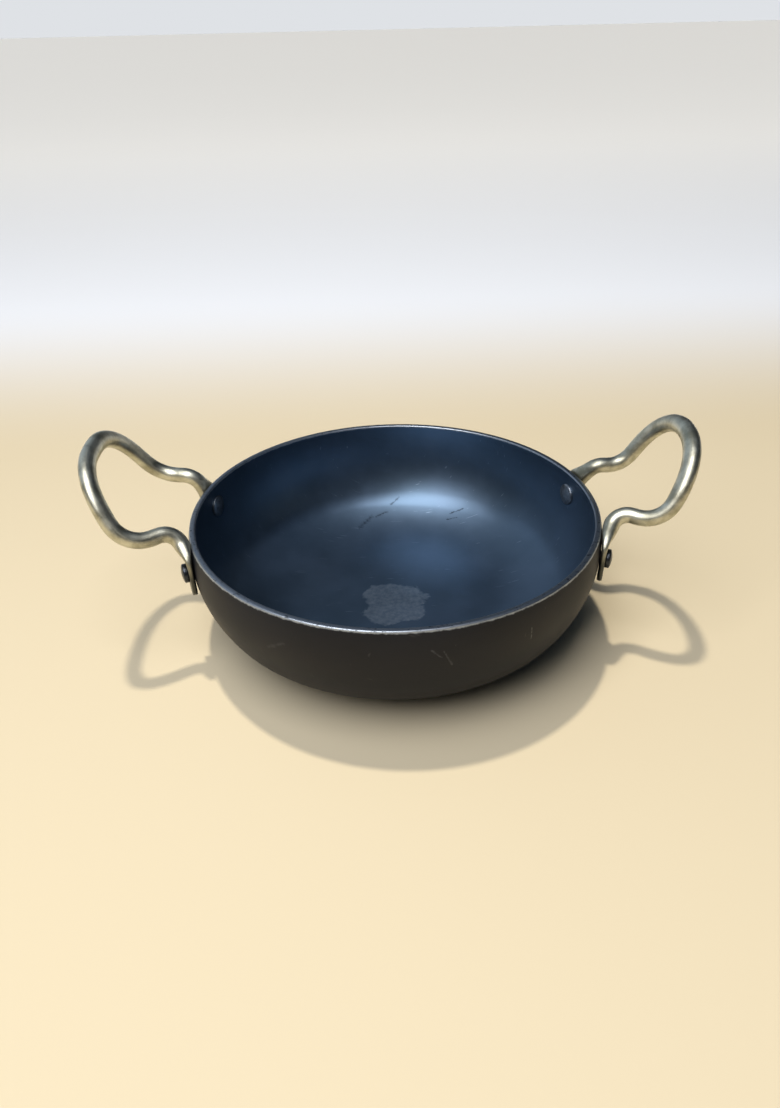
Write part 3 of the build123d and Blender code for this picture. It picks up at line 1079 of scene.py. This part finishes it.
def floor_finish():
    """Smooth painted board, which scatters light evenly: warm near the bowl, paler far away."""
    finish, tree, place = new_finish("pale_painted_board")
    axes = add_node(tree, "ShaderNodeSeparateXYZ", {"Vector": place})
    far = add_node(tree, "ShaderNodeMapRange", {
        "Value": axes.outputs["Y"], "From Min": PALE_FROM[0], "From Max": PALE_FROM[1]},
        interpolation_type="SMOOTHSTEP")
    colour = add_node(tree, "ShaderNodeMix", {
        MIX_FACTOR: far.outputs["Result"], COLOUR_A: linear("#c6b99d"), COLOUR_B: linear("#e0e4eb")},
        data_type="RGBA")

    # The softbox hardly reaches the far end, so the board is painted almost white there.
    farther = add_node(tree, "ShaderNodeMapRange", {
        "Value": axes.outputs["Y"], "From Min": WHITE_FROM[0], "From Max": WHITE_FROM[1]},
        interpolation_type="SMOOTHSTEP")
    paled = add_node(tree, "ShaderNodeMix", {
        MIX_FACTOR: farther.outputs["Result"], COLOUR_A: colour.outputs[COLOUR_OUT],
        COLOUR_B: linear("#fafbfc")}, data_type="RGBA")
    shader = add_node(tree, "ShaderNodeBsdfPrincipled", {
        "Base Color": paled.outputs[COLOUR_OUT], "Roughness": 0.75, "Specular IOR Level": 0.2})
    add_node(tree, "ShaderNodeOutputMaterial", {"Surface": shader.outputs["BSDF"]})
    return finish


deselect_all()
bpy.ops.mesh.primitive_plane_add(size=FLOOR_SIZE, location=(0, 0, 0))
floor = bpy.context.object
floor.name = "floor"
floor.data.materials.append(floor_finish())
print("floor", FLOOR_SIZE, "m")

# %% [markdown]
# ## Light
# Three lamps are usual, but two and a sky do here. A sun from above and a little
# behind gives the short shadow in front of the bowl. It is hidden from reflections,
# because so small a lamp would glint on every bend. A long softbox above the viewer's
# left is what the eye sees in the metal: the highlight inside the bowl and the bright
# lines on the bars. The sky is dim and blue, so that the inside stays dark, with a
# paler glow on the left, as from a window, and a pale haze where the floor ends.

# %% Lamps
SUN_FROM = Vector((-0.10, 0.28, 1.0))
SUN_ANGLE = radians(3.0)
SUN_STRENGTH = 2.3
SOFTBOX_PLACE = Vector((-0.33, -0.49, 1.09))
SOFTBOX_SIZE = (0.75, 1.2)
SOFTBOX_WATTS = 17.6
LAMP_AIM = Vector((0, 0, 0.03))


def add_lamp(kind, name, place, strength, tint, **settings):
    """Lamp of one kind at a place, turned to the bowl."""
    bpy.ops.object.light_add(type=kind, location=place)
    lamp = bpy.context.object
    lamp.name = name
    lamp.data.energy = strength
    lamp.data.color = linear(tint)[:3]
    for setting, value in settings.items():
        setattr(lamp.data, setting, value)
    lamp.rotation_euler = (place - LAMP_AIM).to_track_quat("Z", "Y").to_euler()
    return lamp


key_sun = add_lamp("SUN", "key_sun", SUN_FROM, SUN_STRENGTH, "#fff6e6", angle=SUN_ANGLE)
key_sun.visible_glossy = False
softbox = add_lamp(
    "AREA", "window_softbox", SOFTBOX_PLACE, SOFTBOX_WATTS, "#f8f8fb",
    shape="RECTANGLE", size=SOFTBOX_SIZE[0], size_y=SOFTBOX_SIZE[1])
print(softbox.name, SOFTBOX_SIZE, "m at", round(SOFTBOX_PLACE.length, 2), "m from the bowl")

# %% Sky
WINDOW_WAY = Vector((-0.8, 0.5, 0.35))
# Where one colour passes into the next, on directions of length one: by their height for
# the dome and the haze, and for the glow by how nearly they point at the window.
DOME_BAND = (0.45, 0.95)
HAZE_BAND = (0.08, 0.03)
WINDOW_BAND = (0.5, 1.0)

world = bpy.data.worlds.new("soft_sky")
bpy.context.scene.world = world
world.use_nodes = True
sky_tree = world.node_tree
sky_tree.nodes.clear()
direction = add_node(sky_tree, "ShaderNodeTexCoord", {}).outputs["Generated"]
sky_axes = add_node(sky_tree, "ShaderNodeSeparateXYZ", {"Vector": direction})
upper = add_node(sky_tree, "ShaderNodeMapRange", {
    "Value": sky_axes.outputs["Z"], "From Min": DOME_BAND[0], "From Max": DOME_BAND[1]},
    interpolation_type="SMOOTHSTEP")
dome = add_node(sky_tree, "ShaderNodeMix", {
    MIX_FACTOR: upper.outputs["Result"], COLOUR_A: linear("#161f2a"), COLOUR_B: linear("#43556b")},
    data_type="RGBA")
towards_window = add_node(sky_tree, "ShaderNodeVectorMath", {
    0: direction, 1: WINDOW_WAY.normalized()}, operation="DOT_PRODUCT")
window_share = add_node(sky_tree, "ShaderNodeMapRange", {
    "Value": towards_window.outputs["Value"], "From Min": WINDOW_BAND[0], "From Max": WINDOW_BAND[1]},
    interpolation_type="SMOOTHSTEP")
windowed = add_node(sky_tree, "ShaderNodeMix", {
    MIX_FACTOR: window_share.outputs["Result"], COLOUR_A: dome.outputs[COLOUR_OUT],
    COLOUR_B: linear("#a4b5c9")}, data_type="RGBA")
haze = add_node(sky_tree, "ShaderNodeMapRange", {
    "Value": sky_axes.outputs["Z"], "From Min": HAZE_BAND[0], "From Max": HAZE_BAND[1]},
    interpolation_type="SMOOTHSTEP")
sky_colour = add_node(sky_tree, "ShaderNodeMix", {
    MIX_FACTOR: haze.outputs["Result"], COLOUR_A: windowed.outputs[COLOUR_OUT],
    COLOUR_B: linear("#dfe2e6")}, data_type="RGBA")
sky = add_node(sky_tree, "ShaderNodeBackground", {
    "Color": sky_colour.outputs[COLOUR_OUT], "Strength": 1.0})
add_node(sky_tree, "ShaderNodeOutputWorld", {"Surface": sky.outputs["Background"]})
print("sky nodes", len(sky_tree.nodes))

# %% [markdown]
# ## Camera
# The camera looks down by 33 degrees, from as near as the photograph was taken, so
# the bowl's far side looks as much smaller as it does there. It could be aimed with a
# constraint, but its place and turn were worked out from the rim and the rivets, so
# they are set as one matrix, whose first three columns are right, up and back.

# %% Camera
CAMERA_PLACE = Vector((-0.010539, -0.376928, 0.275754))
CAMERA_AZIMUTH = radians(-1.165)
CAMERA_ELEVATION = radians(32.705)
CAMERA_ROLL = radians(-1.360)
FOCAL_PIXELS = 850.0
IMAGE_HEIGHT = 1108.0
SENSOR_MM = 36.0
NEAREST_SEEN = 0.01

back = Vector((
    sin(CAMERA_AZIMUTH) * cos(CAMERA_ELEVATION),
    -cos(CAMERA_AZIMUTH) * cos(CAMERA_ELEVATION),
    sin(CAMERA_ELEVATION)))
level_right = Vector((0, 0, 1)).cross(back).normalized()
level_up = back.cross(level_right)
right = level_right * cos(CAMERA_ROLL) + level_up * sin(CAMERA_ROLL)
up = back.cross(right)
camera_data = bpy.data.cameras.new("camera")
camera = bpy.data.objects.new("camera", camera_data)
bpy.context.collection.objects.link(camera)
pose = Matrix((right, up, back)).transposed().to_4x4()
pose.translation = CAMERA_PLACE
camera.matrix_world = pose
camera_data.sensor_width = SENSOR_MM
camera_data.lens = FOCAL_PIXELS / IMAGE_HEIGHT * SENSOR_MM
camera_data.clip_start = NEAREST_SEEN
bpy.context.scene.camera = camera
bpy.context.scene.view_settings.view_transform = "Standard"
print("lens mm", round(camera_data.lens, 3))
